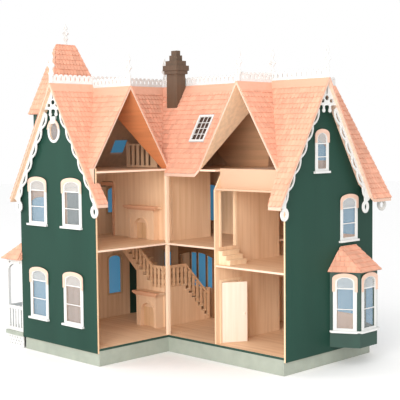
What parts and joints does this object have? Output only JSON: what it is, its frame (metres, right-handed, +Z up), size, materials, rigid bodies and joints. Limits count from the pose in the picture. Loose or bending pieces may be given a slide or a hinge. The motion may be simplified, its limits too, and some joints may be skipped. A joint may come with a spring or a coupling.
{
  "type": "wooden dollhouse",
  "caption": "Gothic wooden dollhouse on an L plan with an open back: gabled shingle roofs, stairs, fireplaces, a tower, bay, porch and hinged doors.",
  "frame": {"origin": "on the ground under the centre of the house's bounding box", "axes": "+Z up; +X along the right arm towards its end gable with the bay; +Y from the open court towards the rear wing"},
  "size_m": [1, 0.7106, 0.9593],
  "materials": {
    "sage_board": "pale sage paint on plywood, satin",
    "green_wall": "dark green paint on plywood, satin",
    "bare_wood": "unfinished basswood plywood, matt",
    "white_trim": "white painted plywood, satin",
    "shingle": "salmon stained wooden shingles, matt",
    "chimney_brown": "dark brown painted wood, matt"
  },
  "bodies": {
    "house": {"foundation_court": "sage_board", "foundation_front": "sage_board", "foundation_back": "sage_board", "tower_foundation": "sage_board", "porch_deck": "sage_board", "entry_steps": "sage_board", "end_wall_left": "green_wall", "end_wall_right": "green_wall", "facade_wall": "green_wall", "back_wall": "green_wall", "wing_side_wall": "green_wall", "wing_back_wall": "green_wall", "tower_walls": "green_wall", "bay_walls": "green_wall", "ground_floor_left": "bare_wood", "ground_floor_right": "bare_wood", "second_floor_left": "bare_wood", "second_floor_hall": "bare_wood", "second_floor_right": "bare_wood", "attic_floor_main": "bare_wood", "attic_floor_right": "bare_wood", "landing_wall": "bare_wood", "second_floor_partition": "bare_wood", "hall_wall": "bare_wood", "hall_partition": "bare_wood", "corner_post": "bare_wood", "lower_stair_flight": "bare_wood", "upper_stair_flight": "bare_wood", "stair_landing": "bare_wood", "bedroom_steps": "bare_wood", "lower_stair_rail": "bare_wood", "upper_stair_rail": "bare_wood", "attic_railing": "bare_wood", "parlor_fireplace": "bare_wood", "bedroom_fireplace": "bare_wood", "porch_frame": "white_trim", "left_cresting": "white_trim", "right_cresting": "white_trim", "tower_finial": "white_trim", "left_vergeboard": "white_trim", "right_vergeboard": "white_trim", "wing_vergeboard": "white_trim", "skylight_frame": "white_trim", "left_roof_end": "shingle", "left_roof_corner": "shingle", "left_roof_back": "shingle", "left_roof_front": "shingle", "left_gable_roof": "shingle", "right_roof_corner": "shingle", "right_roof_end": "shingle", "right_roof_back": "shingle", "right_roof_back_end": "shingle", "right_gable_roof": "shingle", "wing_roof": "shingle", "tower_roof": "shingle", "bay_roof": "shingle", "porch_roof": "shingle", "chimney": "chimney_brown"},
    "kitchen_door": {"kitchen_door": "bare_wood"},
    "front_door": {"front_door": "green_wall"}
  },
  "joints": [
    {"name": "kitchen_door_hinge", "type": "hinge", "parent": "house", "child": "kitchen_door", "pos_m": [0.1753, -0.04845, 0.13], "axis": [0, 0, 1], "range_deg": [-61, 29]},
    {"name": "front_door_hinge", "type": "hinge", "parent": "house", "child": "front_door", "pos_m": [-0.3527, 0.15025, 0.13], "axis": [0, 0, 1], "range_deg": [0, 95]}
  ]
}
